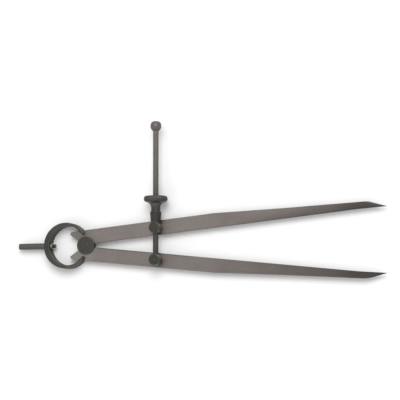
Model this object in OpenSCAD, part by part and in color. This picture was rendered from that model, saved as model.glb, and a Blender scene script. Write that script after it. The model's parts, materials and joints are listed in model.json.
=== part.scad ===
// Flat-leg spring divider, 300 mm size, lying on its back.
// The origin is on the fulcrum's axis, on the outer face of its back flange.
// +X runs to the points, +Y to the ball on the screw and +Z to the front.

/* [Legs] */
// Reach from the fulcrum's axis to the points
leg_reach = 300; // [290:1:340]
// Thickness of the leg plate
leg_t = 3; // [2.5:0.1:3.5]
// Distance of each inner edge from the closing line
leg_gap = 1; // [0.5:0.1:1.5]
// Width of a leg beside the fulcrum
leg_w = 13.8; // [12.8:0.1:15]
// Distance from the fulcrum to the start of the taper
taper_start = 131; // [110:1:160]
// Distance from the fulcrum to the slender end
slender_start = 200; // [180:1:230]
// Width where the slender end starts
slender_w = 9.9; // [8.6:0.1:11]
// Width where the slant of the point starts
point_w = 6; // [5:0.1:7]
// Length of the slant on the outer edge
outer_slant = 18; // [14:1:24]
// Length of the slant on the inner edge
inner_slant = 27; // [20:1:32]
// Length of the flats ground on the front and back
grind_len = 24; // [18:1:30]
// Thickness left at the point
tip_t = 0.7; // [0.5:0.1:1]
// Angle of each leg from the closing line as the divider lies
rest_open = 6; // [4:0.5:8]

/* [Heels] */
// Reach of a leg behind the fulcrum's axis
heel_reach = 15; // [14.6:0.1:16.2]
// Distance behind the axis where the heel slants would meet the closing line
heel_root = 1; // [0.5:0.1:2]
// Slant of the heel, which leaves the legs room to open
heel_slant = 41; // [40.6:0.1:43]
// Length of the cut on the heel's outer corner
heel_chamfer = 1.8; // [1:0.1:2.5]

/* [Fulcrum] */
// Radius of the core between the legs
core_r = 4.5; // [4:0.1:5]
// Radius of the two flanges
flange_r = 8.6; // [8:0.1:9]
// Thickness of a flange
flange_t = 1.8; // [1.4:0.1:2.2]
// Radius of the riveted tenon
rivet_r = 2; // [1.5:0.1:2.5]
// Edge bevel of the flanges, studs and cup
bevel = 0.4; // [0.2:0.1:0.6]

/* [Bow spring] */
// Outer radius of the bow
bow_r = 22.2; // [21.6:0.1:24]
// Width of the strip
bow_w = 12; // [11:0.1:14]
// Thickness of the strip at the handle
bow_back_t = 5.4; // [4.8:0.1:5.8]
// Offset of the inner arc towards the legs, which thins the strip away from the handle
bow_swell = 2.1; // [1.7:0.1:2.3]
// Outer radius of the curled arms
arm_r = 21; // [20:0.1:21.4]
// Inner radius of the curled arms
arm_inner_r = 16.5; // [16:0.1:17]
// Length of the fork's prongs
fork_len = 2.9; // [2:0.1:3.5]
// Distance of the fork's seat behind the fulcrum's axis
seat_back = 3.4; // [2.5:0.1:4]
// Depth of the fork's seat in a leg's outer edge
seat_depth = 1.3; // [1:0.1:1.8]
// Splay of the seat's sides
seat_splay = 20; // [15:1:25]

/* [Handle] */
// Radius of the handle
handle_r = 3; // [2.6:0.1:3.6]
// Length of the handle behind the bow
handle_len = 27; // [20:1:40]
// Bevel at the end of the handle
handle_bevel = 0.7; // [0.3:0.1:1.2]
// Radius of the tenon through the bow
tenon_r = 1.8; // [1.5:0.1:2.2]
// Length of the tenon past its washer
tenon_end = 3.4; // [2:0.1:5]
// Radius of the tenon's washer
tenon_washer_r = 3.1; // [2.8:0.1:3.6]
// Thickness of the tenon's washer
tenon_washer_t = 2; // [1:0.1:2.5]
// Depth of the washer's seat in the bow
spot_depth = 0.2; // [0.1:0.1:0.5]

/* [Swivel studs] */
// Distance of a stud from the fulcrum along its leg
stud_along = 73.5; // [70:0.5:80]
// Distance of a stud from the closing line
stud_out = 7.8; // [7.4:0.1:8.2]
// Radius of a stud
stud_r = 5.5; // [5.2:0.1:6]
// Height of a stud
stud_h = 11; // [10.6:0.1:12]
// Height of the screw's axis above a stud's foot
stud_bore_h = 5.5; // [5.3:0.1:6]
// Radius of the pivot through the leg
pivot_r = 3; // [2.5:0.1:3.4]
// Radius of the peened pivot end
peen_r = 4; // [3.6:0.1:4.4]
// Height of the peened pivot end
peen_h = 0.8; // [0.5:0.1:0.9]
// Radius of a pivot's washer
pivot_washer_r = 5; // [4.6:0.1:5.4]
// Thickness of a pivot's washer
pivot_washer_t = 0.8; // [0.5:0.1:1]

/* [Screw] */
// Radius over the thread
screw_r = 2.75; // [2.5:0.05:2.9]
// Length from the lower stud's axis to the ball's centre
screw_len = 128; // [120:1:150]
// Length below the lower stud's axis
screw_tail = 4.2; // [3.5:0.1:4.8]
// Radius of the ball
ball_r = 5.25; // [4.8:0.05:6]
// Depth of the screw in the ball past its centre
ball_socket = 1; // [0:0.1:2]
// Radius of the pin that locks the screw
pin_r = 0.8; // [0.6:0.1:1.1]

/* [Quick nut] */
// Distance of the cup's seat from the upper stud's axis
cup_seat = 3.6; // [3.2:0.1:4]
// Length of the cup
cup_len = 11.5; // [10:0.1:13]
// Radius of the cup at its mouth
cup_mouth_r = 5.6; // [5.4:0.1:5.8]
// Radius of the cup at its foot
cup_foot_r = 4.6; // [4.5:0.1:4.8]
// Wall of the cup
cup_wall = 0.8; // [0.7:0.05:0.85]
// Thickness of the cup's floor
cup_floor = 1.5; // [1:0.1:2]
// Radius of the nut's neck
neck_r = 4.4; // [4.2:0.1:4.6]
// Length of the straight neck
neck_len = 3.2; // [3:0.1:6]
// Radius of the hollow under the flange
flare_r = 6.5; // [6:0.1:6.5]
// Radius of the flange
nut_r = 11.4; // [10.9:0.1:12]
// Thickness of the flange
nut_t = 6.6; // [6.2:0.1:7]
// Rounding of the flange's rim
rim_round = 2.9; // [2.6:0.1:3]
// Reach of the rounded rim below the end of the hollow
rim_drop = 0.8; // [0.6:0.1:1]
// Radius of the dome on the flange
dome_r = 90; // [60:1:150]
// Width of the slits between the jaws
slit_w = 0.6; // [0.4:0.1:0.8]

/* [Clearances] */
// Gap beside each face that turns on a leg
face_gap = 0.1; // [0.05:0.05:0.2]
// Radial gap of the turning pivots and the core
run_gap = 0.05; // [0.03:0.01:0.1]
// Radial gap of fixed tenons and pins
fit_gap = 0.02; // [0.01:0.01:0.05]
// Radial gap between the screw and what slides on it
screw_gap = 0.1; // [0.05:0.05:0.15]
// Gap between the jaws and the cup
jaw_gap = 0.15; // [0.1:0.05:0.2]
// Gap between a prong and the leg's face
fork_gap = 0.25; // [0.2:0.05:0.4]
// Gap round the fork's seat
seat_gap = 0.65; // [0.6:0.05:0.8]

/* [Hidden] */
$fn = 96;

steel = [0.51, 0.48, 0.46];
dark_steel = [0.29, 0.28, 0.26];
worn_steel = [0.43, 0.42, 0.40];

// Heights above the back flange's outer face
leg_z = flange_t + face_gap;
mid_z = leg_z + leg_t / 2;
front_z = leg_z + leg_t;
stud_z = front_z + face_gap;
stud_top = stud_z + stud_h;
screw_z = stud_z + stud_bore_h;

// Swivel studs, as the legs lie
outer_y = leg_gap + leg_w;
stud_angle = rest_open + atan2(stud_out, stud_along);
stud_reach = norm([stud_along, stud_out]);
stud_x = stud_reach * cos(stud_angle);
stud_y = stud_reach * sin(stud_angle);

// The bow's arcs run into those of its arms at their highest points, about centres above the axis
inner_r = bow_r - bow_back_t + bow_swell;
arm_rise = bow_r - arm_r;
arm_inner_rise = inner_r - arm_inner_r;

// Thickness of an arm in a direction from the centre of its outer arc
function arm_t(angle) =
  let (offset = [bow_swell, arm_inner_rise - arm_rise], along = offset * [cos(angle), sin(angle)])
  arm_r - along - sqrt(along ^ 2 + arm_inner_r ^ 2 - offset * offset);

// The arms curl until they reach the seats on the legs
seat_y = (outer_y - seat_depth) / cos(rest_open) - seat_back * tan(rest_open);
bow_arm_t = arm_t(asin((seat_y - arm_rise) / arm_r));
arm_mid_r = arm_r - bow_arm_t / 2;
seat_angle = asin((seat_y - arm_rise) / arm_mid_r);
arm_end = seat_angle - fork_len / arm_mid_r * 180 / PI;
bow_x = -seat_back - arm_mid_r * cos(seat_angle);
bow_back = bow_x - bow_r;
bow_wall = bow_back + bow_back_t;

// Stations along the screw, from the upper stud's axis
cup_foot = cup_seat + face_gap;
cup_mouth = cup_foot + cup_len;
cup_bottom = cup_foot + cup_floor;
neck_top = cup_mouth + neck_len;
flange_foot = neck_top + flare_r - rim_drop;
nut_top = flange_foot + nut_t;
bore_r = screw_r + screw_gap;

// Reach of cutting shapes, how far a cut runs past a face and the facets of the shallow dome
far = 400;
overcut = 1;
dome_facets = 720;

// Wedge of the plane between two angles, for cutting arcs
module sector(from, to, reach) {
  steps = 6;
  rim = [for (i = [0:steps]) from + (to - from) * i / steps];
  polygon(concat([[0, 0]], [for (a = rim) reach * [cos(a), sin(a)]]));
}

// Turned piece on the X axis of a body, from a profile of radius and station
module turned_on_x(z) {
  translate([0, 0, z]) rotate([0, 90, 0]) rotate_extrude() children();
}

// Turned piece on the screw's axis, with stations from the upper stud's axis
module turned_on_screw() {
  translate([stud_x, stud_y, screw_z]) rotate([-90, 0, 0]) rotate_extrude() children();
}

// Flat disc with bevelled rims and an optional hole
module disc_profile(r, z, t, hole) {
  polygon([[hole, z], [r - bevel, z], [r, z + bevel], [r, z + t - bevel], [r - bevel, z + t], [hole, z + t]]);
}

// Leg with its inner edge along the closing line
module leg_outline() {
  heel_y = (heel_reach - heel_root) * tan(heel_slant);
  polygon([
    [leg_reach, 0],
    [leg_reach - outer_slant, leg_gap + point_w],
    [slender_start, leg_gap + slender_w],
    [taper_start, outer_y],
    [heel_chamfer - heel_reach, outer_y],
    [-heel_reach, heel_y],
    [-heel_root - leg_gap / tan(heel_slant), leg_gap],
    [leg_reach - inner_slant, leg_gap]
  ]);
}

// Side view of a leg, with the flats ground on its point
module leg_side() {
  grind = leg_reach - grind_len;
  polygon([
    [-heel_reach - overcut, leg_z],
    [grind, leg_z],
    [leg_reach, mid_z - tip_t / 2],
    [leg_reach, mid_z + tip_t / 2],
    [grind, front_z],
    [-heel_reach - overcut, front_z]
  ]);
}

// Notch for the fork's seat, square to the arm that presses in it and splayed to let the leg rock
module seat_notch() {
  notch_h = 3 * seat_depth;
  foot = bow_arm_t / 2 + seat_gap;
  mouth = foot + notch_h * tan(seat_splay);
  rotate(-rest_open) translate([-seat_back, seat_y]) rotate(seat_angle)
    polygon([[-foot, -seat_gap], [foot, -seat_gap], [mouth, notch_h - seat_gap], [-mouth, notch_h - seat_gap]]);
}

module leg() {
  color(steel) rotate(rest_open) difference() {
    intersection() {
      translate([0, 0, leg_z]) linear_extrude(leg_t) difference() {
        leg_outline();
        circle(core_r + run_gap);
        seat_notch();
      }
      rotate([90, 0, 0]) linear_extrude(far, center = true) leg_side();
    }
    translate([stud_along, stud_out, leg_z - overcut])
      cylinder(r = pivot_r + run_gap, h = leg_t + 2 * overcut);
  }
}

module upper_leg() { leg(); }
module lower_leg() { mirror([0, 1, 0]) leg(); }

// Half of a disc, on the handle's side of its centre
module back_half(r) {
  intersection() {
    circle(r);
    translate([-far, -far / 2]) square(far);
  }
}

// One arm as a filled sector, up to its outer arc
module arm_blank() {
  translate([0, arm_rise]) intersection() {
    circle(arm_r);
    sector(arm_end, 90, far);
  }
}

// Space inside one arm
module arm_eye() {
  intersection() {
    translate([0, arm_inner_rise]) circle(arm_inner_r);
    square(far);
  }
}

module bow_outline() {
  difference() {
    union() {
      back_half(bow_r);
      arm_blank();
      mirror([0, 1]) arm_blank();
    }
    translate([bow_swell, 0]) {
      back_half(inner_r);
      arm_eye();
      mirror([0, 1]) arm_eye();
    }
  }
}

// Space that a leg takes between the prongs of an arm
module fork_slot() {
  slot_h = leg_t + 2 * fork_gap;
  translate([-seat_back, seat_y, mid_z]) rotate(seat_angle)
    translate([-bow_arm_t, -2 * fork_len, -slot_h / 2]) cube([2 * bow_arm_t, 2 * fork_len, slot_h]);
}

module bow_spring() {
  color(dark_steel) difference() {
    translate([bow_x, 0, mid_z]) linear_extrude(bow_w, center = true) bow_outline();
    fork_slot();
    mirror([0, 1, 0]) fork_slot();
    translate([bow_back - overcut, 0, mid_z]) rotate([0, 90, 0])
      cylinder(r = tenon_r + fit_gap, h = bow_back_t + 2 * overcut);
    translate([bow_wall - spot_depth, 0, mid_z]) rotate([0, 90, 0])
      cylinder(r = tenon_washer_r + fork_gap, h = bow_back_t);
  }
}

// Round stem, bevelled to a neck that is hollowed to sit on the bow, with a tenon through it
module handle() {
  start = bow_back - handle_len;
  shoulder = bow_back + bow_back_t / 2;
  tail = bow_wall - spot_depth + tenon_washer_t + tenon_end;
  saddle_r = handle_r - bevel;
  color(dark_steel) {
    difference() {
      turned_on_x(mid_z) polygon([
        [0, start], [handle_r - handle_bevel, start], [handle_r, start + handle_bevel],
        [handle_r, bow_back - bevel], [saddle_r, bow_back], [saddle_r, shoulder], [0, shoulder]
      ]);
      translate([bow_x, 0, mid_z]) cylinder(r = bow_r, h = bow_w, center = true);
    }
    turned_on_x(mid_z) polygon([
      [0, bow_back - handle_r], [tenon_r, bow_back - handle_r], [tenon_r, tail - bevel],
      [tenon_r - bevel, tail], [0, tail]
    ]);
  }
}

module handle_washer() {
  seat = bow_wall - spot_depth;
  color(worn_steel) turned_on_x(mid_z)
    disc_profile(tenon_washer_r, seat, tenon_washer_t, tenon_r + fit_gap);
}

// Back flange and core, with a tenon that the cap is riveted on
module fulcrum_stud() {
  core_top = front_z + face_gap;
  color(dark_steel) {
    rotate_extrude() disc_profile(flange_r, 0, flange_t, 0);
    cylinder(r = core_r, h = core_top);
    cylinder(r = rivet_r, h = core_top + flange_t);
  }
}

module fulcrum_cap() {
  color(dark_steel) rotate_extrude()
    disc_profile(flange_r, front_z + face_gap, flange_t, rivet_r + fit_gap);
}

// Round post with a pivot through the leg, peened over a washer at the back
module stud_body() {
  peen_top = leg_z - face_gap - pivot_washer_t;
  peen_foot = peen_top - peen_h;
  rotate_extrude() {
    polygon([
      [0, stud_z], [stud_r, stud_z], [stud_r, stud_top - bevel], [stud_r - bevel, stud_top], [0, stud_top]
    ]);
    polygon([
      [0, peen_foot], [peen_r / 2, peen_foot], [peen_r, peen_top - peen_h / 4], [peen_r, peen_top],
      [pivot_r, peen_top], [pivot_r, stud_z], [0, stud_z]
    ]);
  }
}

module stud_washer() {
  color(dark_steel) translate([stud_x, 0, 0]) rotate_extrude()
    translate([pivot_r + fit_gap, leg_z - face_gap - pivot_washer_t])
      square([pivot_washer_r - pivot_r - fit_gap, pivot_washer_t]);
}

module upper_stud() {
  color(dark_steel) translate([stud_x, stud_y, 0]) difference() {
    stud_body();
    translate([0, 0, screw_z]) rotate([-90, 0, 0]) {
      cylinder(r = bore_r, h = 4 * stud_r, center = true);
      translate([0, 0, cup_seat]) cylinder(r = cup_foot_r + fork_gap, h = stud_r);
    }
  }
}

module upper_stud_washer() { translate([0, stud_y, 0]) stud_washer(); }

module lower_stud() {
  color(dark_steel) translate([stud_x, -stud_y, 0]) difference() {
    stud_body();
    translate([0, 0, screw_z]) {
      rotate([-90, 0, 0]) translate([0, 0, -screw_tail])
        cylinder(r = screw_r + fit_gap, h = screw_tail + 2 * stud_r);
      cylinder(r = pin_r + fit_gap, h = stud_h);
    }
  }
}

module lower_stud_washer() { translate([0, -stud_y, 0]) stud_washer(); }

module adjusting_screw() {
  color(worn_steel) translate([stud_x, -stud_y, screw_z]) difference() {
    rotate([-90, 0, 0]) translate([0, 0, -screw_tail])
      cylinder(r = screw_r, h = screw_tail + screw_len + ball_socket);
    translate([0, 0, -screw_r / 2]) cylinder(r = pin_r + fit_gap, h = stud_h);
  }
}

module screw_pin() {
  color(worn_steel) translate([stud_x, -stud_y, screw_z - screw_r / 2])
    cylinder(r = pin_r, h = stud_top - screw_z + screw_r / 2);
}

module screw_ball() {
  color(worn_steel) translate([stud_x, screw_len - stud_y, screw_z]) rotate([-90, 0, 0]) difference() {
    sphere(ball_r);
    translate([0, 0, -2 * ball_r]) cylinder(r = screw_r + fit_gap, h = 2 * ball_r + ball_socket);
  }
}

// Tapered cup that closes the nut's jaws and bears on the upper stud
module nut_cup() {
  color(dark_steel) turned_on_screw() polygon([
    [bore_r, cup_foot], [cup_foot_r - bevel, cup_foot], [cup_foot_r, cup_foot + bevel],
    [cup_mouth_r, cup_mouth - bevel], [cup_mouth_r - bevel, cup_mouth], [cup_mouth_r - cup_wall, cup_mouth],
    [cup_foot_r - cup_wall, cup_bottom], [bore_r, cup_bottom]
  ]);
}

module nut_profile() {
  jaw_foot_r = cup_foot_r - cup_wall - jaw_gap;
  jaw_mouth_r = cup_mouth_r - cup_wall - jaw_gap;
  jaw_end = cup_bottom + jaw_gap;
  rim_r = nut_r - rim_round;
  polygon([
    [bore_r, jaw_end], [jaw_foot_r, jaw_end], [jaw_mouth_r, cup_mouth], [neck_r, neck_top], [bore_r, neck_top]
  ]);
  difference() {
    translate([bore_r, neck_top]) square([nut_r - bore_r - rim_round, flare_r]);
    translate([neck_r + flare_r, neck_top]) circle(flare_r);
  }
  intersection() {
    union() {
      translate([bore_r, flange_foot]) square([rim_r - bore_r, nut_t]);
      translate([rim_r, flange_foot + rim_round]) square([rim_round, nut_t - 2 * rim_round]);
      for (h = [flange_foot + rim_round, nut_top - rim_round]) translate([rim_r, h]) circle(rim_round);
    }
    translate([0, nut_top - dome_r]) circle(dome_r, $fn = dome_facets);
  }
}

// Flanged nut whose lower end is slit into jaws
module quick_nut() {
  color(dark_steel) difference() {
    turned_on_screw() nut_profile();
    translate([stud_x, stud_y, screw_z]) rotate([-90, 0, 0])
      translate([-slit_w / 2, -2 * stud_r, 0]) cube([slit_w, 4 * stud_r, cup_mouth + neck_len / 2]);
  }
}

bow_spring();
handle();
handle_washer();
fulcrum_stud();
fulcrum_cap();
upper_leg();
lower_leg();
upper_stud();
upper_stud_washer();
lower_stud();
lower_stud_washer();
adjusting_screw();
screw_pin();
screw_ball();
nut_cup();
quick_nut();
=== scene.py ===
"""Dressed model of a flat-leg spring divider, laid out as an add-on and run as a script."""
import json
import math

import bmesh
import bpy
from bpy.props import FloatProperty, FloatVectorProperty, IntProperty, PointerProperty
from mathutils import Matrix, Vector


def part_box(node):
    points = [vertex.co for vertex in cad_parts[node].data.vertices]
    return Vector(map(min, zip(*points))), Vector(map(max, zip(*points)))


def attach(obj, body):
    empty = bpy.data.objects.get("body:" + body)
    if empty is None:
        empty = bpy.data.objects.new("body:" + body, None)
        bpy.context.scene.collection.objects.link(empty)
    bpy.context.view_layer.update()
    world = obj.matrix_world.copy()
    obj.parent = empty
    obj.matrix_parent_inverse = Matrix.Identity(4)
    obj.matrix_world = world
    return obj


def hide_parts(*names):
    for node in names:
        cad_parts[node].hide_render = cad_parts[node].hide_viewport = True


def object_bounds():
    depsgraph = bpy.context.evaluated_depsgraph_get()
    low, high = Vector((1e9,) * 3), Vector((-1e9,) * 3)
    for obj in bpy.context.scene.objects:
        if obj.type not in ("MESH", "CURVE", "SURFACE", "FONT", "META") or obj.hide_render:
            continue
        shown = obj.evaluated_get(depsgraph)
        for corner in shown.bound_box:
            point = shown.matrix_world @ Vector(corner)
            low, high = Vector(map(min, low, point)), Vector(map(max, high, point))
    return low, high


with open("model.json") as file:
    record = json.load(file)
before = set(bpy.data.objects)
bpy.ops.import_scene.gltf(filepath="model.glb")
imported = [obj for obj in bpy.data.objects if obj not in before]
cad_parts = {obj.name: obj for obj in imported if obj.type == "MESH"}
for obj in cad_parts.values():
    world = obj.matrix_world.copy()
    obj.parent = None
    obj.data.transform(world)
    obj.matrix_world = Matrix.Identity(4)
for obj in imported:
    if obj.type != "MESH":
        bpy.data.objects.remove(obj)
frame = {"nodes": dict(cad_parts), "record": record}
CAD_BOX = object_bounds()

bl_info = {
    "name": "Spring Divider",
    "version": (1, 0, 0),
    "blender": (4, 5, 0),
    "location": "View3D > Sidebar > Divider",
    "description": "Builds the divider's pieces and finishes over its solids, and a studio round it",
    "category": "Object",
}

MM = 0.001
SNUG = 0.02 * MM
LEG_TURN = math.radians(6)
BODY_OF = {node: body for body, nodes in frame["record"]["behaviour"]["bodies"].items() for node in nodes}

BOW_LOW, BOW_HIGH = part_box("bow_spring")
HANDLE_LOW, HANDLE_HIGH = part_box("handle")
CAP_LOW, CAP_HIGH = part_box("fulcrum_cap")
STUD_LOW, STUD_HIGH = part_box("upper_stud")
SCREW_LOW, SCREW_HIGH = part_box("adjusting_screw")
BALL_LOW, BALL_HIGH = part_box("screw_ball")

MID_Z = (BOW_LOW.z + BOW_HIGH.z) / 2
STUD_X = (STUD_LOW.x + STUD_HIGH.x) / 2
STUD_Y = (STUD_LOW.y + STUD_HIGH.y) / 2
STUD_FOOT = CAP_LOW.z
SCREW_Z = (SCREW_LOW.z + SCREW_HIGH.z) / 2
BOW_R = 22.2 * MM
BOW_X = BOW_LOW.x + BOW_R


def srgb(red, green, blue):
    """Linear colour of an eight-bit one."""
    parts = [c / 255 for c in (red, green, blue)]
    return tuple(c / 12.92 if c <= 0.04045 else ((c + 0.055) / 1.055) ** 2.4 for c in parts)


def length(title, words, default):
    return FloatProperty(name=title, description=words, default=default, min=0.0, unit="LENGTH", precision=5)


def colour(title, words, default):
    return FloatVectorProperty(name=title, description=words, default=default, size=3, min=0.0, max=1.0,
                               subtype="COLOR")


class DividerSizes(bpy.types.PropertyGroup):
    """Sizes of the details that the dressed pieces add to the solids."""

    leg_edge: length("Leg edge", "Width of the break along the legs' edges", 0.25 * MM)
    bow_edge: length("Bow edge", "Reach of the rounding along the bow's edges", 0.7 * MM)
    turned_edge: length("Turned edge", "Reach of the rounding on turned pieces", 0.45 * MM)
    thread_pitch: length("Thread pitch", "Distance between the screw's threads", 1.0 * MM)
    thread_depth: length("Thread depth", "Depth of the screw's thread", 0.2 * MM)
    rim_ridges: IntProperty(name="Rim ridges", description="Ridges round the nut's rim", default=90, min=12)
    rim_depth: length("Rim depth", "Depth of the grooves round the nut's rim", 0.14 * MM)


class DividerColours(bpy.types.PropertyGroup):
    """Colours of the divider's finishes."""

    leg_heel: colour("Leg heel", "Ground steel of the legs behind the fulcrum", srgb(115, 112, 106))
    leg_near: colour("Leg", "Ground steel of the legs near the fulcrum", srgb(118, 111, 107))
    leg_far: colour("Leg far end", "Ground steel of the legs towards the points", srgb(73, 69, 67))
    leg_point: colour("Leg point", "Hardened steel of the points", srgb(56, 54, 52))
    bright: colour("Bare steel", "Steel that shows where the finish is rubbed off", srgb(150, 146, 139))
    bow: colour("Bow", "Dark oxide of the bow", srgb(58, 57, 54))
    disc: colour("Fulcrum", "Dark oxide of the fulcrum", srgb(60, 58, 55))
    stud: colour("Studs", "Dark oxide of the studs", srgb(56, 54, 51))
    nut: colour("Nut", "Dark oxide of the nut and its cup", srgb(65, 62, 60))
    handle: colour("Handle", "Worn oxide of the handle", srgb(84, 83, 79))
    screw: colour("Screw", "Worn steel of the screw near its ball", srgb(108, 105, 100))
    screw_foot: colour("Screw foot", "Oxide of the screw near its stud", srgb(63, 61, 59))
    ball: colour("Ball", "Worn steel of the ball", srgb(104, 99, 96))
    # Bare steel, made paler still as painted light, so that the washer, which sits in the bow's shade, shows
    # as a light spot.
    washer: colour("Washer", "Bare steel of the washer inside the bow", srgb(144, 139, 130))
    rust: colour("Tarnish", "Brown tarnish in the oxide", srgb(78, 68, 59))
    floor: colour("Floor", "Paper that the divider lies on", (0.95, 0.95, 0.95))


class Wire:
    """A node's output that takes part in Python sums, each of which adds a Math node."""

    def __init__(self, sheet, socket):
        self.sheet = sheet
        self.socket = socket

    def other(self, key):
        return Wire(self.sheet, self.socket.node.outputs[key])

    def math(self, operation, first, second=0.0):
        return self.sheet.node("ShaderNodeMath", {"operation": operation}, {0: first, 1: second})

    def __add__(self, more):
        return self.math("ADD", self, more)

    def __sub__(self, less):
        return self.math("SUBTRACT", self, less)

    def __rsub__(self, more):
        return self.math("SUBTRACT", more, self)

    def __mul__(self, times):
        return self.math("MULTIPLY", self, times)

    def __truediv__(self, by):
        return self.math("DIVIDE", self, by)

    def __rtruediv__(self, of):
        return self.math("DIVIDE", of, self)

    def __pow__(self, power):
        return self.math("POWER", self, power)

    def __abs__(self):
        return self.math("ABSOLUTE", self)

    __radd__ = __add__
    __rmul__ = __mul__

    def least(self, limit):
        return self.math("MINIMUM", self, limit)

    def most(self, limit):
        return self.math("MAXIMUM", self, limit)

    def clamped(self):
        return self.most(0.0).least(1.0)

    def ramp(self, low, high):
        """0 up to low, 1 from high on."""
        return ((self - low) / (high - low)).clamped()


class Sheet:
    """A node tree and the one method that adds nodes to it."""

    def __init__(self, tree):
        self.tree = tree
        tree.nodes.clear()

    def node(self, kind, settings=None, sockets=None, out=0):
        made = self.tree.nodes.new(kind)
        for key, value in (settings or {}).items():
            setattr(made, key, value)
        for key, value in (sockets or {}).items():
            socket = made.inputs[key]
            if isinstance(value, Wire):
                self.tree.links.new(value.socket, socket)
            elif socket.type == "RGBA" and len(value) == 3:
                socket.default_value = (*value, 1.0)
            else:
                socket.default_value = value
        return Wire(self, made.outputs[out]) if made.outputs else made

    def seen(self):
        """1 for what the camera sees, also in metal and glass, and 0 for light that falls on other things."""
        path = self.node("ShaderNodeLightPath", out="Is Camera Ray")
        return path.most(path.other("Is Glossy Ray")).most(path.other("Is Transmission Ray"))


class Finish(Sheet):
    """A material and the patterns that its finish is made of."""

    def __init__(self, name):
        self.material = bpy.data.materials.new(name)
        self.material.use_nodes = True
        super().__init__(self.material.node_tree)
        self.place = self.node("ShaderNodeTexCoord", out="Object")
        # This attribute holds rubbing on rounded edges, and painted light on some walls and on the upper
        # leg's point facets.
        self.rubbed = self.node("ShaderNodeAttribute", {"attribute_name": "wear_and_light"}, out="Fac")

    def seen_from(self, place=(0, 0, 0), turn=(0, 0, 0), size=(1, 1, 1)):
        """Object coordinates measured from a place, along turned axes, in units of a size."""
        sockets = {"Vector": self.place, "Location": place, "Rotation": turn, "Scale": size}
        return self.node("ShaderNodeMapping", {"vector_type": "TEXTURE"}, sockets)

    def noise(self, vector, scale, detail=2.0, roughness=0.5):
        sockets = {"Vector": vector, "Scale": scale, "Detail": detail, "Roughness": roughness}
        return self.node("ShaderNodeTexNoise", {}, sockets)

    def mix(self, share, first, second):
        return self.node("ShaderNodeMix", {"data_type": "RGBA"}, {0: share, 6: first, 7: second}, out=2)

    def shade(self, tint, level):
        return self.node("ShaderNodeVectorMath", {"operation": "SCALE"}, {0: tint, 3: level})

    def bump(self, height, depth):
        return self.node("ShaderNodeBump", {}, {"Height": height, "Distance": depth, "Strength": 1.0})

    def close(self, tint, roughness, metallic, normal):
        """Ends the tree in its surface."""
        sockets = {"Base Color": tint, "Roughness": roughness, "Metallic": metallic, "Normal": normal}
        surface = self.node("ShaderNodeBsdfPrincipled", {}, sockets)
        self.node("ShaderNodeOutputMaterial", {"target": "ALL"}, {"Surface": surface})
        return self.material


def leg_finish(name, turn, colours, leg_light_level, heel, edge_shade, slope):
    """Satin steel ground along the leg, darker towards its point.

    The leg's level and its heel's level, given per leg, are painted light and shade that make one leg lighter
    than the other, though both are the same steel. The inner edge's painted shade is given as how much darker
    that edge is, and the station where it ends. The slope is painted light across the far half: how much
    lighter it gets from its inner edge to its outer one.
    """
    finish = Finish(name)
    along = finish.node("ShaderNodeSeparateXYZ", {}, {0: finish.seen_from(turn=(0, 0, turn))})
    grain_place = finish.seen_from(turn=(0, 0, turn), size=(0.03, 0.0005, 0.0005))
    grain = finish.noise(grain_place, 1.0, 3.0, 0.6)
    scratch_place = finish.seen_from(turn=(0, 0, turn + 0.35), size=(0.012, 0.0002, 0.0002))
    scratch = finish.noise(scratch_place, 1.0, 1.0).ramp(0.66, 0.74)
    cloud = finish.noise(finish.place, 55.0, 4.0, 0.55)
    blotch = finish.noise(finish.place, 240.0, 3.0, 0.6).ramp(0.56, 0.75)
    # The heel's level, given per leg, is painted light and shade on the same steel.
    heel_tint = tuple(heel * part for part in colours.leg_heel)
    tint = finish.mix(along.ramp(0.002, 0.012), heel_tint, tuple(colours.leg_near))
    # The leg runs darker from its middle towards its point.
    tint = finish.mix(along.ramp(0.11, 0.27), tint, tuple(colours.leg_far))
    tint = finish.mix(along.ramp(0.25, 0.288) * 0.8, tint, tuple(colours.leg_point))
    tint = finish.mix(blotch * 0.2, tint, tuple(colours.rust))
    tint = finish.mix(scratch * 0.22, tint, tuple(colours.bright))
    # Painted shade: the inner edge is darker up to a station, and its bevel gets no bright rubbing there.
    edge_shade_level, edge_shade_end = edge_shade
    outside_edge_shade = abs(along.other(1)).ramp(0.0013, 0.0023).most(along.ramp(edge_shade_end - 0.02, edge_shade_end))
    tint = finish.mix(finish.rubbed * outside_edge_shade * (0.25 + 0.5 * cloud), tint, tuple(colours.bright))
    # The leg's level, given per leg, is painted light and shade that sets one leg lighter than the other.
    level = leg_light_level * (0.72 + 0.26 * cloud + 0.3 * grain) * (1.0 - edge_shade_level + edge_shade_level * outside_edge_shade)
    # Painted light: the far half is lighter towards its outer edge and darker towards its inner one.
    if slope:
        painted_light_across = along.other(1).ramp(0.001, 0.01) - 0.4
        level = level * (1.0 + slope * along.ramp(0.15, 0.2) * painted_light_across)
    tint = finish.shade(tint, level)
    roughness = 0.3 + 0.16 * grain + 0.1 * cloud
    normal = finish.bump(grain + 0.5 * scratch, 0.012 * MM)
    return finish.close(tint, roughness, 0.85, normal)


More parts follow.
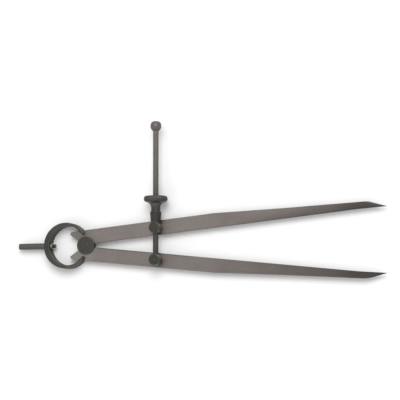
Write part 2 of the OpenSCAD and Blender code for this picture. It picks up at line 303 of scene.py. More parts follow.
def turned_finish(name, base, colours, place=(0, 0, 0), turn=(0, 0, 0), rings=0.5, rub=0.6, tarnish=0.25,
                  fade=None):
    """Oxide over turned steel: fine rings about an axis, mottling, and bare steel on rubbed edges.

    A fade gives the colour that the base runs into, and the stations where that starts and ends.
    """
    finish = Finish(name)
    about_axis = finish.seen_from(place, turn)
    split = finish.node("ShaderNodeSeparateXYZ", {}, {0: about_axis})
    station = split.other(2)
    if fade:
        base = finish.mix(station.ramp(*fade[1:]), base, fade[0])
    out = (split * split + split.other(1) * split.other(1)) ** 0.5
    ring_place = finish.node("ShaderNodeCombineXYZ", {}, {0: out * 1600.0, 1: station * 1600.0, 2: 0.0})
    ring = finish.noise(ring_place, 1.0, 3.0, 0.65)
    coarse_place = finish.node("ShaderNodeCombineXYZ", {}, {0: out * 420.0, 1: station * 420.0, 2: 3.0})
    coarse = finish.noise(coarse_place, 1.0, 1.0)
    cloud = finish.noise(finish.place, 130.0, 4.0, 0.6)
    speck = finish.noise(finish.place, 1500.0, 2.0, 0.6)
    rubbed = finish.rubbed * (0.35 + cloud).least(1.0)
    tint = finish.mix(cloud.ramp(0.5, 0.72) * tarnish, base, tuple(colours.rust))
    tint = finish.mix(rubbed * rub, tint, tuple(colours.bright))
    tint = finish.mix(speck.ramp(0.62, 0.74) * 0.18, tint, tuple(colours.bright))
    tint = finish.shade(tint, 0.7 + 0.3 * cloud + rings * (0.4 * ring + 0.3 * coarse - 0.2))
    roughness = 0.5 - 0.12 * rubbed - 0.12 * ring + 0.1 * speck
    normal = finish.bump(rings * ring + 0.25 * speck, 0.02 * MM)
    return finish.close(tint, roughness, 0.7, normal)


def bow_finish(name, base, colours):
    """Oxide on rolled spring steel: mottled, with faint lines round the bow and rubbed edges, and painted
    light that makes its arms lighter.
    """
    finish = Finish(name)
    about_bow = finish.node("ShaderNodeSeparateXYZ", {}, {0: finish.seen_from((BOW_X, 0, MID_Z))})
    height = about_bow.other(2)
    out = (about_bow * about_bow + about_bow.other(1) * about_bow.other(1)) ** 0.5
    line_place = finish.node("ShaderNodeCombineXYZ", {}, {0: out * 900.0, 1: height * 900.0, 2: 0.0})
    line = finish.noise(line_place, 1.0, 3.0, 0.6)
    cloud = finish.noise(finish.place, 90.0, 4.0, 0.6)
    speck = finish.noise(finish.place, 1300.0, 2.0, 0.6)
    rubbed = finish.rubbed * (0.2 + 1.1 * cloud).least(1.0)
    tint = finish.mix(cloud.ramp(0.5, 0.7) * 0.3, base, tuple(colours.rust))
    tint = finish.mix(rubbed * 0.12, tint, tuple(colours.bright))
    tint = finish.mix(speck.ramp(0.64, 0.76) * 0.16, tint, tuple(colours.bright))
    # Painted light: the face is lighter on the arms, away from the handle, but not at the upper arm's end.
    upper_end = about_bow.ramp(0.005, 0.011) * about_bow.other(1).ramp(0.0, 0.004)
    on_arm = abs(about_bow.other(1)).ramp(0.006, 0.019) * (1.0 - upper_end)
    tint = finish.shade(tint, (0.68 + 0.34 * cloud + 0.26 * line) * (1.0 + 0.35 * on_arm))
    roughness = 0.52 - 0.12 * rubbed - 0.1 * line + 0.1 * speck
    normal = finish.bump(0.6 * line + 0.4 * speck, 0.02 * MM)
    return finish.close(tint, roughness, 0.7, normal)


def along_x(z):
    """Matrix that lays a turning axis along +X, so that a station is a place along X."""
    return Matrix.Translation((0, 0, z)) @ Matrix.Rotation(math.radians(90), 4, "Y")


def along_y(x, z):
    """Matrix that lays a turning axis along +Y, so that a station is a place along Y."""
    return Matrix.Translation((x, 0, z)) @ Matrix.Rotation(math.radians(-90), 4, "X")


def along_z(x, y):
    return Matrix.Translation((x, y, 0))


def add_object(name, bm):
    """Links a finished bmesh as an object at the origin."""
    bmesh.ops.recalc_face_normals(bm, faces=bm.faces)
    mesh = bpy.data.meshes.new(name)
    bm.to_mesh(mesh)
    bm.free()
    made = bpy.data.objects.new(name, mesh)
    bpy.context.scene.collection.objects.link(made)
    return made


def soften(points, closed=False, steps=4):
    """Profile with rounded corners, as (radius, station, on_corner); each point gives its corner's reach."""
    soft = []
    for i, (r, s, reach) in enumerate(points):
        corner = Vector((r, s))
        at_end = not closed and i in (0, len(points) - 1)
        if at_end or not reach:
            soft.append((r, s, 0.0))
            continue
        before = Vector(points[i - 1][:2]) - corner
        after = Vector(points[(i + 1) % len(points)][:2]) - corner
        start = corner + before.normalized() * min(reach, before.length * 0.45)
        end = corner + after.normalized() * min(reach, after.length * 0.45)
        for k in range(steps + 1):
            t = k / steps
            at = start.lerp(corner, t).lerp(corner.lerp(end, t), t)
            soft.append((at.x, at.y, 1.0 if k < steps else 0.0))
    return soft


def painted_light_wall(profile, r, rub):
    """Profile whose wall at a radius gets a wear value too, not only its rounded corners: painted light that
    makes a wall lying in shade lighter.
    """
    return [(at, s, rub if at > 0.999 * r and not wear_and_light else wear_and_light) for at, s, wear_and_light in profile]


def turned(name, profile, axis, segments=96, closed=False):
    """Object turned from a profile about an axis matrix's Z; the profile's third value marks the faces of
    rounded corners with wear, and paints light on a wall where one is given.
    """
    bm = bmesh.new()
    wear_and_light = bm.faces.layers.float.new("wear_and_light")
    rings = []
    for r, s, _ in profile:
        turns = [2 * math.pi * k / segments for k in range(segments if r > 1e-7 else 1)]
        rings.append([bm.verts.new(axis @ Vector((r * math.cos(a), r * math.sin(a), s))) for a in turns])
    pairs = list(zip(rings, rings[1:] + rings[:1]))
    for (low, high), point in zip(pairs if closed else pairs[:-1], profile):
        for k in range(segments):
            m = (k + 1) % segments
            corners = [low[k % len(low)], low[m % len(low)], high[m % len(high)], high[k % len(high)]]
            face = bm.faces.new(list(dict.fromkeys(corners)))
            face[wear_and_light] = point[2]
    return add_object(name, bm)


def box_tool(low, high, place):
    """Plain block that a cut is made with."""
    bm = bmesh.new()
    low, high = Vector(low), Vector(high)
    bmesh.ops.create_cube(bm, size=1.0)
    for vert in bm.verts:
        share = vert.co + Vector((0.5, 0.5, 0.5))
        vert.co = place @ Vector(lo + (hi - lo) * s for lo, hi, s in zip(low, high, share))
    return add_object("cutter", bm)


def bore_tool(r, start, end, axis, segments=64):
    """Plain bar that a bore is made with."""
    return turned("cutter", [(0, start, 0), (r, start, 0), (r, end, 0), (0, end, 0)], axis, segments)


def settle(made):
    """Turns an object and its modifiers into a plain mesh."""
    view = bpy.context.evaluated_depsgraph_get()
    mesh = bpy.data.meshes.new_from_object(made.evaluated_get(view), preserve_all_data_layers=True,
                                           depsgraph=view)
    made.modifiers.clear()
    old = made.data
    made.data = mesh
    bpy.data.meshes.remove(old)


def weld(mesh, reach=0.001 * MM):
    """Joins vertices of a mesh that nearly coincide, and takes out faces without area."""
    bm = bmesh.new()
    bm.from_mesh(mesh)
    bmesh.ops.remove_doubles(bm, verts=bm.verts, dist=reach)
    bmesh.ops.dissolve_degenerate(bm, edges=bm.edges, dist=reach)
    bm.to_mesh(mesh)
    bm.free()


def cut(made, *tools):
    """Takes the tools' shapes out of an object."""
    for tool in tools:
        modifier = made.modifiers.new("cut", "BOOLEAN")
        modifier.operation = "DIFFERENCE"
        modifier.solver = "EXACT"
        modifier.object = tool
    settle(made)
    weld(made.data)
    for tool in tools:
        bpy.data.objects.remove(tool)


def fit(made, node, material):
    """Finishes a piece's normals and material, and puts it in its node's place."""
    made.data.materials.clear()
    made.data.materials.append(material)
    made.data.polygons.foreach_set("use_smooth", [True] * len(made.data.polygons))
    made.data.polygons.foreach_set("material_index", [0] * len(made.data.polygons))
    made.data.set_sharp_from_angle(angle=math.radians(35))
    weighted = made.modifiers.new("weighted", "WEIGHTED_NORMAL")
    weighted.keep_sharp = True
    settle(made)
    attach(made, BODY_OF[node])
    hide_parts(node)


def ridge_tree():
    """Geometry nodes that cut a thread, or straight ridges round a rim, into a surface turned about Y."""
    tree = bpy.data.node_groups.new("turned_ridges", "GeometryNodeTree")
    sheet = Sheet(tree)
    sockets = (
        ("Geometry", "Geometry"), ("Axis Place", "Vector"), ("Starts", "Float"), ("Turns per Metre", "Float"),
        ("Depth", "Float"), ("Band Start", "Float"), ("Band End", "Float"), ("Fade", "Float"),
        ("Crest Radius", "Float"), ("Finish", "Material"),
    )
    for name, kind in sockets:
        tree.interface.new_socket(name=name, in_out="INPUT", socket_type="NodeSocket" + kind)
    tree.interface.new_socket(name="Geometry", in_out="OUTPUT", socket_type="NodeSocketGeometry")
    given = sheet.node("NodeGroupInput")
    axis = sheet.node("ShaderNodeSeparateXYZ", {}, {0: given.other("Axis Place")})
    place = sheet.node("ShaderNodeSeparateXYZ", {}, {0: sheet.node("GeometryNodeInputPosition")})
    across = place - axis
    up = place.other(2) - axis.other(2)
    station = place.other(1)
    out = (across * across + up * up) ** 0.5
    turn = place.math("ARCTAN2", up, across) / (2 * math.pi)
    phase = given.other("Starts") * turn + given.other("Turns per Metre") * station
    wave = abs(2.0 * phase.math("FRACT", phase) - 1.0)
    groove = 1.0 - wave.ramp(0.12, 0.88)
    rise = ((station - given.other("Band Start")) / given.other("Fade")).clamped()
    fall = ((given.other("Band End") - station) / given.other("Fade")).clamped()
    on_crest = out.math("GREATER_THAN", out, 0.97 * given.other("Crest Radius"))
    share = 1.0 - given.other("Depth") * groove * rise * fall * on_crest / out.most(1e-6)
    moved = sheet.node("ShaderNodeCombineXYZ", {}, {
        0: axis + across * share, 1: station, 2: axis.other(2) + up * share,
    })
    cut_mesh = sheet.node("GeometryNodeSetPosition", {}, {"Geometry": given, "Position": moved})
    whole = sheet.node("GeometryNodeRealizeInstances", {}, {"Geometry": cut_mesh})
    finish = given.other("Finish")
    dressed = sheet.node("GeometryNodeSetMaterial", {}, {"Geometry": whole, "Material": finish})
    sheet.node("NodeGroupOutput", {}, {"Geometry": dressed})
    return tree


def ridged(made, tree, **values):
    """Cuts ridges into a turned object and leaves a plain mesh."""
    modifier = made.modifiers.new("ridges", "NODES")
    modifier.node_group = tree
    for item in tree.interface.items_tree:
        key = item.name.lower().replace(" ", "_")
        if item.in_out == "INPUT" and key in values:
            modifier[item.identifier] = values[key]
    settle(made)


class DIVIDER_OT_legs(bpy.types.Operator):
    """Legs from the solids, with their long edges broken and their points left sharp"""

    bl_idname = "divider.legs"
    bl_label = "Legs"

    point_start = 274 * MM
    slant_start = Vector((282 * MM, 7 * MM, 0))
    slant_end = Vector((300 * MM, 0, 0))
    corner_reach = 5 * MM
    # Per leg: painted light and shade levels for the leg and its heel, a painted shade along the inner edge,
    # and painted light across the upper leg's far half.
    looks = {
        "upper_leg": {"leg_light_level": 1.0, "heel": 0.87, "edge_shade": (0.18, 0.32), "slope": 0.5},
        "lower_leg": {"leg_light_level": 0.92, "heel": 1.22, "edge_shade": (0.45, 0.11), "slope": 0.0},
    }

    def execute(self, context):
        sizes, colours = context.scene.divider_sizes, context.scene.divider_colours
        # The third value is the wear that the point's facets get: on the upper leg it paints them lighter, a
        # painted reflection; the lower leg's get none.
        for node, side, rub in (("upper_leg", 1, 0.8), ("lower_leg", -1, 0.0)):
            bm = bmesh.new()
            bm.from_mesh(frame["nodes"][node].data)
            bmesh.ops.remove_doubles(bm, verts=bm.verts, dist=0.03 * MM)
            bmesh.ops.dissolve_limit(bm, angle_limit=math.radians(0.1), verts=bm.verts, edges=bm.edges)
            if side < 0:
                self.round_corner(bm, side)
            wear_and_light = bm.faces.layers.float.new("wear_and_light")
            sharp = [e for e in bm.edges if e.calc_face_angle(0) > math.radians(40)
                     and max(v.co.x for v in e.verts) < self.point_start]
            made = bmesh.ops.bevel(bm, geom=sharp, offset=sizes.leg_edge, segments=3, profile=0.5,
                                   affect="EDGES", clamp_overlap=True)
            for face in made["faces"]:
                face[wear_and_light] = 1.0
            for face in self.grind(bm, side):
                face[wear_and_light] = rub
            leg = add_object(node + "_ground", bm)
            fit(leg, node, leg_finish(node + "_steel", side * LEG_TURN, colours, **self.looks[node]))
        return {"FINISHED"}

    def round_corner(self, bm, side):
        """Rounds the outer corner where the point's slant starts."""
        corner = Matrix.Rotation(LEG_TURN, 3, "Z") @ self.slant_start * Vector((1, side, 1))
        upright = [e for e in bm.edges if all((v.co - corner).xy.length < 0.1 * MM for v in e.verts)]
        if not upright:
            raise RuntimeError("The leg has no corner at the start of its slant")
        bmesh.ops.bevel(bm, geom=upright, offset=self.corner_reach, segments=8, profile=0.5, affect="EDGES")

    def grind(self, bm, side):
        """Grinds facets on the point's outer slant, with a narrow land between them; returns the facets."""
        slope, half_land, tip_room = 0.6, 0.05 * MM, 0.03 * MM
        run = self.slant_end - self.slant_start
        turn = Matrix.Rotation(LEG_TURN, 3, "Z")
        mirror = Vector((1, side, 1))
        facets = []
        for face_side in (1, -1):
            normal = turn @ Vector((-run.y, run.x, face_side * slope * run.length))
            place = turn @ self.slant_start + Vector((0, 0, MID_Z + face_side * half_land))
            made = bmesh.ops.bisect_plane(
                bm, geom=bm.verts[:] + bm.edges[:] + bm.faces[:], dist=1e-7, plane_co=place * mirror,
                plane_no=normal * mirror, clear_outer=True,
            )
            edges = [item for item in made["geom_cut"] if isinstance(item, bmesh.types.BMEdge)]
            facets += bmesh.ops.holes_fill(bm, edges=edges, sides=0)["faces"]
        for vert in bm.verts:
            local = turn.inverted() @ (vert.co * mirror)
            if local.y < tip_room:
                local.y = tip_room
                vert.co = (turn @ local) * mirror
        return facets


class DIVIDER_OT_bow(bpy.types.Operator):
    """Bow spring: a rounded strip that tapers from the handle to its forked ends"""

    bl_idname = "divider.bow"
    bl_label = "Bow spring"

    swell = 2.1 * MM
    inner_r = BOW_R - 3.3 * MM
    arm_r = 21 * MM
    arm_inner_r = 16.5 * MM
    arm_rise = BOW_R - arm_r
    arm_inner_rise = inner_r - arm_inner_r
    arm_end = math.radians(28.7036)
    seat = Vector((-3.4 * MM, 13.217 * MM))
    seat_turn = math.radians(37.0308)
    seat_half, seat_depth, slot = 3 * MM, 6 * MM, 3.5 * MM
    tenon_bore_r, washer_seat_r, washer_seat_depth = 1.82 * MM, 3.35 * MM, 0.2 * MM

    def edge_points(self, angle):
        """Outer and inner point of the strip's upper half, on a ray at an angle from +X."""
        on_arm = angle < math.pi / 2
        start = Vector((BOW_X, self.arm_rise if on_arm else 0.0))
        ray = Vector((math.cos(angle), math.sin(angle)))
        outer = start + ray * (self.arm_r if on_arm else BOW_R)
        centre = Vector((BOW_X + self.swell, self.arm_inner_rise))
        inner = start + ray * self.reach(start, ray, centre, self.arm_inner_r)
        if inner.x < centre.x:
            centre = Vector((BOW_X + self.swell, 0.0))
            inner = start + ray * self.reach(start, ray, centre, self.inner_r)
        return outer, inner

    def reach(self, start, ray, centre, r):
        """Distance along a ray from inside a circle to the circle."""
        off = start - centre
        half = off.dot(ray)
        return math.sqrt(half * half - off.length_squared + r * r) - half

    def section(self, outer, inner, edge):
        """Rounded rectangle across the strip, as points and whether each starts a rounded corner's face."""
        thick = (outer - inner).length
        corners = [(0, BOW_LOW.z, edge), (thick, BOW_LOW.z, edge), (thick, BOW_HIGH.z, edge),
                   (0, BOW_HIGH.z, edge)]
        ray = (outer - inner).normalized()
        loop = soften(corners, closed=True)
        return [(inner + ray * t, z, on_corner) for t, z, on_corner in loop]

    def seat_tool(self, side):
        """Block that forks an arm's end to straddle its leg."""
        place = (Matrix.Translation((self.seat.x, side * self.seat.y, MID_Z))
                 @ Matrix.Rotation(side * self.seat_turn, 4, "Z"))
        low_y, high_y = sorted((0.0, -side * self.seat_depth))
        low = (-self.seat_half, low_y, -self.slot / 2)
        return box_tool(low, (self.seat_half, high_y, self.slot / 2), place)

    def execute(self, context):
        sizes, colours = context.scene.divider_sizes, context.scene.divider_colours
        steps = 110
        turns = [self.arm_end + (math.pi - self.arm_end) * k / steps for k in range(steps + 1)]
        half = [self.edge_points(angle) for angle in turns]
        flip = Vector((1, -1))
        path = half + [(outer * flip, inner * flip) for outer, inner in reversed(half[:-1])]
        bm = bmesh.new()
        wear_and_light = bm.faces.layers.float.new("wear_and_light")
        loops = [self.section(outer, inner, sizes.bow_edge) for outer, inner in path]
        rings = [[bm.verts.new((at.x, at.y, z)) for at, z, _ in loop] for loop in loops]
        for low, high in zip(rings, rings[1:]):
            for k, (_, _, on_corner) in enumerate(loops[0]):
                m = (k + 1) % len(low)
                bm.faces.new((low[k], low[m], high[m], high[k]))[wear_and_light] = on_corner
        bm.faces.new(rings[0])
        bm.faces.new(rings[-1])
        bow = add_object("bow_spring_strip", bm)
        wall = BOW_X + self.swell - self.inner_r
        tools = [self.seat_tool(side) for side in (1, -1)]
        tools.append(bore_tool(self.tenon_bore_r, BOW_LOW.x - MM, wall + MM, along_x(MID_Z)))
        seat_start = wall - self.washer_seat_depth
        tools.append(bore_tool(self.washer_seat_r, seat_start, wall + 3 * MM, along_x(MID_Z)))
        cut(bow, *tools)
        fit(bow, "bow_spring", bow_finish("bow_oxide", tuple(colours.bow), colours))
        return {"FINISHED"}


class DIVIDER_OT_handle(bpy.types.Operator):
    """Handle with its neck, its tenon through the bow and the washer inside the bow"""

    bl_idname = "divider.handle"
    bl_label = "Handle"

    def execute(self, context):
        sizes, colours = context.scene.divider_sizes, context.scene.divider_colours
        axis, edge = along_x(MID_Z), sizes.turned_edge
        r, neck_r, tenon_r = 3 * MM, 2.6 * MM, 1.8 * MM
        start, tail, back = HANDLE_LOW.x, HANDLE_HIGH.x, BOW_LOW.x
        slant, seat = 0.4 * MM, 0.3 * MM
        turn = (0, math.radians(90), 0)
        profile = soften([
            (0, start, 0), (r, start, 2 * edge), (r, back - slant, edge / 2), (neck_r, back, 0),
            (neck_r, back + seat, 0), (tenon_r, back + seat, 0), (tenon_r, tail, edge), (0, tail, 0),
        ])
        handle = turned("handle_stem", profile, axis)
        finish = turned_finish("handle_oxide", tuple(colours.handle), colours, (0, 0, MID_Z), turn, 0.5, 0.4,
                               fade=(tuple(colours.nut), back, back + 2 * MM))
        fit(handle, "handle", finish)
        low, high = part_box("handle_washer")
        washer_r = (high.z - low.z) / 2
        profile = soften([
            (tenon_r + SNUG, low.x, 0), (washer_r, low.x, edge / 2), (washer_r, high.x, edge),
            (tenon_r + SNUG, high.x, edge / 2),
        ], closed=True)
        washer = turned("handle_washer_ring", profile, axis, closed=True)
        # The washer's pale steel is partly painted light on a part in the bow's shade.
        finish = turned_finish("washer_steel", tuple(colours.washer), colours, (0, 0, MID_Z), turn, 0.5, 0.4)
        fit(washer, "handle_washer", finish)
        return {"FINISHED"}


class DIVIDER_OT_fulcrum(bpy.types.Operator):
    """Fulcrum: back flange with its core and rivet, and the front flange"""

    bl_idname = "divider.fulcrum"
    bl_label = "Fulcrum"

    def execute(self, context):
        sizes, colours = context.scene.divider_sizes, context.scene.divider_colours
        edge = sizes.turned_edge
        flange_r, core_r, rivet_r = CAP_HIGH.x, 4.5 * MM, 2 * MM
        flange_t = CAP_HIGH.z - CAP_LOW.z
        finish = turned_finish("fulcrum_oxide", tuple(colours.disc), colours, rings=1.0, rub=0.15)
        profile = soften([
            (0, 0, 0), (flange_r, 0, edge), (flange_r, flange_t, edge), (core_r, flange_t, 0),
            (core_r, CAP_LOW.z, 0), (rivet_r, CAP_LOW.z, 0), (rivet_r, CAP_HIGH.z, edge / 2),
            (0, CAP_HIGH.z, 0),
        ])
        # Painted light: the back flange's wall, in shade between the legs, is made lighter through a high
        # wear value.
        profile = painted_light_wall(profile, flange_r, 2.0)
        fit(turned("fulcrum_stud_turned", profile, along_z(0, 0), 128), "fulcrum_stud", finish)
        profile = soften([
            (rivet_r + SNUG, CAP_LOW.z, 0), (flange_r, CAP_LOW.z, edge), (flange_r, CAP_HIGH.z, edge),
            (rivet_r + SNUG, CAP_HIGH.z, edge / 3),
        ], closed=True)
        fit(turned("fulcrum_cap_turned", profile, along_z(0, 0), 128, closed=True), "fulcrum_cap", finish)
        return {"FINISHED"}


class DIVIDER_OT_studs(bpy.types.Operator):
    """Swivel studs with their bores, and the washers behind the legs"""

    bl_idname = "divider.studs"
    bl_label = "Studs"

    slide_r, cup_seat_r, cup_seat_start = 2.85 * MM, 4.85 * MM, 3.6 * MM
    screw_seat_r, screw_seat_depth, pin_bore_r = 2.77 * MM, 4.2 * MM, 0.82 * MM

    def execute(self, context):
        sizes, colours = context.scene.divider_sizes, context.scene.divider_colours
        edge = sizes.turned_edge
        r, pivot_r, peen_r = STUD_HIGH.x - STUD_X, 3 * MM, 4 * MM
        bore = along_y(STUD_X, SCREW_Z)
        for side, name in ((1, "upper"), (-1, "lower")):
            y = side * STUD_Y
            axis = along_z(STUD_X, y)
            low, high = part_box(name + "_stud_washer")
            finish = turned_finish(name + "_stud_oxide", tuple(colours.stud), colours, (STUD_X, y, 0),
                                   rings=0.8, rub=0.25)
            profile = soften([
                (0, STUD_LOW.z, 0), (peen_r * 0.75, STUD_LOW.z, edge), (peen_r, low.z, 0),
                (pivot_r, low.z, 0), (pivot_r, STUD_FOOT, 0), (r, STUD_FOOT, edge / 2),
                (r, STUD_HIGH.z, edge), (0, STUD_HIGH.z, 0),
            ])
            # Painted light: the stud's wall, whose side lies in shade, is made lighter through its wear
            # value.
            stud = turned(name + "_stud_post", painted_light_wall(profile, r, 1.2), axis)
            if side > 0:
                through = bore_tool(self.slide_r, y - 2 * r, y + 2 * r, bore)
                cut(stud, through, bore_tool(self.cup_seat_r, y + self.cup_seat_start, y + 2 * r, bore))
            else:
                blind = bore_tool(self.screw_seat_r, y - self.screw_seat_depth, y + 2 * r, bore)
                cut(stud, blind, bore_tool(self.pin_bore_r, SCREW_Z, STUD_HIGH.z + MM, axis, 32))
            fit(stud, name + "_stud", finish)
            washer_r = (high.x - low.x) / 2
            profile = soften([
                (pivot_r + SNUG, low.z, 0), (washer_r, low.z, edge / 2), (washer_r, high.z, edge / 2),
                (pivot_r + SNUG, high.z, 0),
            ], closed=True)
            washer = turned(name + "_stud_washer_ring", profile, axis, closed=True)
            fit(washer, name + "_stud_washer", finish)
        return {"FINISHED"}


class DIVIDER_OT_screw(bpy.types.Operator):
    """Adjusting screw with its thread, the pin that locks it and the ball at its end"""

    bl_idname = "divider.screw"
    bl_label = "Screw"

    def execute(self, context):
        sizes, colours = context.scene.divider_sizes, context.scene.divider_colours
        axis, edge = along_y(STUD_X, SCREW_Z), sizes.turned_edge
        place, turn = (STUD_X, 0, SCREW_Z), (math.radians(-90), 0, 0)
        r, start, end = (SCREW_HIGH.z - SCREW_LOW.z) / 2, SCREW_LOW.y, SCREW_HIGH.y
        steel = turned_finish("screw_steel", tuple(colours.screw_foot), colours, place, turn, 0.4, 0.5, 0.35,
                              fade=(tuple(colours.screw), -STUD_Y, 6 * STUD_Y))
        ball_steel = turned_finish("ball_steel", tuple(colours.ball), colours, place, turn, 0.5, 0.3)
        rings_per_turn = 8
        count = round((end - start) / sizes.thread_pitch * rings_per_turn)
        wall = [(r, start + (end - start) * k / count, 0.0) for k in range(count + 1)]
        screw = turned("adjusting_screw_thread", [(0, start, 0.0)] + wall + [(0, end, 0.0)], axis, 28)
        ridged(screw, ridge_tree(), axis_place=place, starts=1.0, turns_per_metre=1 / sizes.thread_pitch,
               depth=sizes.thread_depth, band_start=start + 3 * MM, band_end=BALL_LOW.y - MM, fade=2 * MM,
               crest_radius=r, finish=steel)
        fit(screw, "adjusting_screw", steel)
        low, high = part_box("screw_pin")
        profile = soften([
            (0, low.z, 0), (high.x - STUD_X, low.z, 0), (high.x - STUD_X, high.z, edge / 2), (0, high.z, 0),
        ])
        fit(turned("screw_pin_turned", profile, along_z(STUD_X, -STUD_Y), 32), "screw_pin", steel)
        ball_r = BALL_HIGH.x - STUD_X
        centre = BALL_HIGH.y - ball_r
        steps, foot_share, flat, fullness = 40, 0.87, 0.97, 0.77
        low_turn = -math.asin(foot_share)
        turns = [low_turn + (math.pi / 2 - low_turn) * k / steps for k in range(steps)]
        arc = [(ball_r * math.cos(a), centre + ball_r * math.sin(a), 0.0) for a in turns if a <= 0]
        arc += [(ball_r * math.cos(a) ** fullness, centre + ball_r * flat * math.sin(a) ** fullness, 0.0)
                for a in turns if a > 0]
        profile = [(0, arc[0][1], 0.0)] + arc + [(0, centre + ball_r * flat, 0.0)]
        fit(turned("screw_ball_turned", profile, axis, 72), "screw_ball", ball_steel)
        return {"FINISHED"}


class DIVIDER_OT_nut(bpy.types.Operator):
    """Quick nut with its jaws, flare and ridged rim, and the cup that closes it"""

    bl_idname = "divider.nut"
    bl_label = "Quick nut"

    # All in millimetres. Stations are measured along the screw from the upper stud's axis.
    bore_r, neck_r, rim_r, flare_r, dome_r = 2.85, 4.4, 11.4, 6.5, 90.0
    round_r = 2.9
    in_r = rim_r - round_r
    neck_top, foot, top = 18.4, 24.1, 30.7
    jaws = ((bore_r, 5.35), (3.65, 5.35), (4.65, 15.2), (neck_r, neck_top))
    slit, slit_top, slit_reach = 0.6, 16.8, 9
    cup = (
        (bore_r, 3.7, 0), (4.6, 3.7, 0.4), (5.6, 15.2, 0.4), (4.8, 15.2, 0.2), (3.8, 5.2, 0),
        (bore_r, 5.2, 0),
    )
    flare_rub, rim_rub = 1.6, 0.3

    def execute(self, context):
        sizes, colours = context.scene.divider_sizes, context.scene.divider_colours
        axis = along_y(STUD_X, SCREW_Z)
        place, turn = (STUD_X, 0, SCREW_Z), (math.radians(-90), 0, 0)
        oxide = turned_finish("nut_oxide", tuple(colours.nut), colours, place, turn, 0.7, 0.25)
        cup_oxide = turned_finish("cup_oxide", tuple(colours.stud), colours, place, turn, 0.7, 0.2)
        profile = [(r * MM, STUD_Y + s * MM, self.rub(r, s)) for r, s in self.outline()]
        nut = turned("quick_nut_turned", profile, axis, 4 * sizes.rim_ridges, closed=True)
        ridged(nut, ridge_tree(), axis_place=place, starts=float(sizes.rim_ridges), turns_per_metre=0.0,
               depth=sizes.rim_depth, band_start=STUD_Y + (self.foot + 0.5) * MM,
               band_end=STUD_Y + (self.top - 0.6) * MM, fade=0.6 * MM, crest_radius=self.rim_r * MM,
               finish=oxide)
        slit_half, slit_reach = self.slit * MM / 2, self.slit_reach * MM
        low = (STUD_X - slit_half, STUD_Y, SCREW_Z - slit_reach)
        high = (STUD_X + slit_half, STUD_Y + self.slit_top * MM, SCREW_Z + slit_reach)
        cut(nut, box_tool(low, high, Matrix.Identity(4)))
        fit(nut, "quick_nut", oxide)
        profile = soften([(r * MM, STUD_Y + s * MM, e * MM) for r, s, e in self.cup], closed=True)
        fit(turned("nut_cup_turned", profile, axis, closed=True), "nut_cup", cup_oxide)
        return {"FINISHED"}

    def outline(self):
        """Half section of the nut, as radius and station: jaws, neck, flare, rim and domed top."""
        points = list(self.jaws)
        quarter = [(math.cos(a), math.sin(a)) for a in (math.radians(10 * k) for k in range(10))]
        for c, s in quarter[1:6]:
            points.append((self.neck_r + self.flare_r * (1 - c), self.neck_top + self.flare_r * s))
        for c, s in quarter[4:]:
            points.append((self.in_r + self.round_r * s, self.foot + self.round_r - self.round_r * c))
        for c, s in quarter[:6]:
            points.append((self.in_r + self.round_r * c, self.top - self.round_r + self.round_r * s))
        for r in (10.1, 8, 6, 4, self.bore_r):
            points.append((r, self.top - self.dome_r + math.sqrt(self.dome_r ** 2 - r ** 2)))
        return points

    def rub(self, r, s):
        """Rubbing by the fingers: more towards the rim on the flare, and a little round the rim."""
        if self.neck_top < s < self.foot and r < self.in_r:
            return self.flare_rub * (s - self.neck_top) / (self.foot - self.neck_top)
        return self.rim_rub * (r > self.in_r + 1.7)


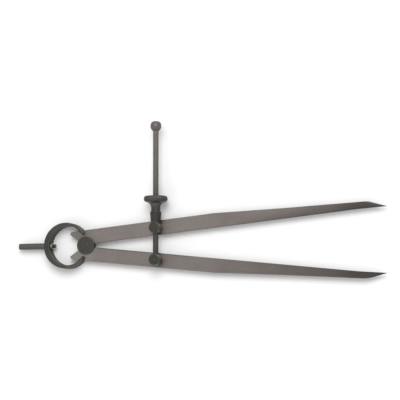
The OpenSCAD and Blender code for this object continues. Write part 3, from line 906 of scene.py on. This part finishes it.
class DIVIDER_OT_stage(bpy.types.Operator):
    """Pale floor, soft studio light and the camera"""

    bl_idname = "divider.stage"
    bl_label = "Stage"

    camera_place = (1.0368, -0.2193, 3.0379)
    camera_turns = ((4.91, "X"), (16.85, "Y"), (-1.38, "Z"))
    lamp_target = Vector((0.11, 0.02, 0.0))

    def execute(self, context):
        scene, colours = context.scene, context.scene.divider_colours
        scene.view_settings.view_transform = "Standard"
        self.add_floor(colours)
        self.add_world(scene, level=0.64)
        self.add_lamp("key_lamp", place=(0.5, 1.15, 2.2), size=1.6, power=31.0)
        self.add_lamp("fill_lamp", place=(-0.9, -0.9, 1.6), size=1.0, power=2.0)
        self.add_camera(scene, lens=300.0)
        return {"FINISHED"}

    def add_camera(self, scene, lens):
        data = bpy.data.cameras.new("camera")
        data.lens = lens
        camera = bpy.data.objects.new("camera", data)
        scene.collection.objects.link(camera)
        turn = Matrix.Identity(4)
        for angle, axis in self.camera_turns:
            turn = turn @ Matrix.Rotation(math.radians(angle), 4, axis)
        camera.matrix_world = Matrix.Translation(self.camera_place) @ turn
        scene.camera = camera

    def add_floor(self, colours):
        bm = bmesh.new()
        bmesh.ops.create_grid(bm, x_segments=4, y_segments=4, size=4.0)
        for vert in bm.verts:
            vert.co.z = CAD_BOX[0][2] - 0.05 * MM
        floor = add_object("floor", bm)
        finish = Finish("floor_paper")
        grain = finish.noise(finish.place, 900.0, 2.0)
        tint = finish.shade(tuple(colours.floor), (0.99 + 0.02 * grain) * (1.0 + 0.07 * finish.seen()))
        paper = finish.node("ShaderNodeBsdfDiffuse", {}, {"Color": tint})
        finish.node("ShaderNodeOutputMaterial", {"target": "ALL"}, {"Surface": paper})
        floor.data.materials.append(finish.material)

    def add_world(self, scene, level):
        scene.world = bpy.data.worlds.new("studio")
        scene.world.use_nodes = True
        sheet = Sheet(scene.world.node_tree)
        strength = level + (1.0 - level) * sheet.seen()
        sky = sheet.node("ShaderNodeBackground", {}, {"Color": (1.0, 1.0, 1.0), "Strength": strength})
        sheet.node("ShaderNodeOutputWorld", {"target": "ALL"}, {"Surface": sky})

    def add_lamp(self, name, place, size, power):
        data = bpy.data.lights.new(name, "AREA")
        data.shape = "DISK"
        data.size = size
        data.energy = power
        lamp = bpy.data.objects.new(name, data)
        bpy.context.scene.collection.objects.link(lamp)
        aim = self.lamp_target - Vector(place)
        lamp.matrix_world = Matrix.Translation(place) @ aim.to_track_quat("-Z", "Y").to_matrix().to_4x4()


class DIVIDER_PT_pieces(bpy.types.Panel):
    """Lists the divider's pieces, sizes and colours"""

    bl_idname = "DIVIDER_PT_pieces"
    bl_label = "Spring Divider"
    bl_space_type = "VIEW_3D"
    bl_region_type = "UI"
    bl_category = "Divider"

    def draw(self, context):
        for operator in OPERATORS:
            self.layout.operator(operator.bl_idname)
        for group in (context.scene.divider_sizes, context.scene.divider_colours):
            for key in group.__annotations__:
                self.layout.prop(group, key)


OPERATORS = (
    DIVIDER_OT_stage, DIVIDER_OT_legs, DIVIDER_OT_bow, DIVIDER_OT_handle, DIVIDER_OT_fulcrum,
    DIVIDER_OT_studs, DIVIDER_OT_screw, DIVIDER_OT_nut,
)
CLASSES = (DividerSizes, DividerColours, *OPERATORS, DIVIDER_PT_pieces)


def register():
    for made in CLASSES:
        bpy.utils.register_class(made)
    bpy.types.Scene.divider_sizes = PointerProperty(type=DividerSizes)
    bpy.types.Scene.divider_colours = PointerProperty(type=DividerColours)


def unregister():
    del bpy.types.Scene.divider_colours
    del bpy.types.Scene.divider_sizes
    for made in reversed(CLASSES):
        bpy.utils.unregister_class(made)


def main():
    register()
    bpy.ops.divider.stage()
    bpy.ops.divider.legs()
    bpy.ops.divider.bow()
    bpy.ops.divider.handle()
    bpy.ops.divider.fulcrum()
    bpy.ops.divider.studs()
    bpy.ops.divider.screw()
    bpy.ops.divider.nut()


if __name__ == "__main__":
    main()
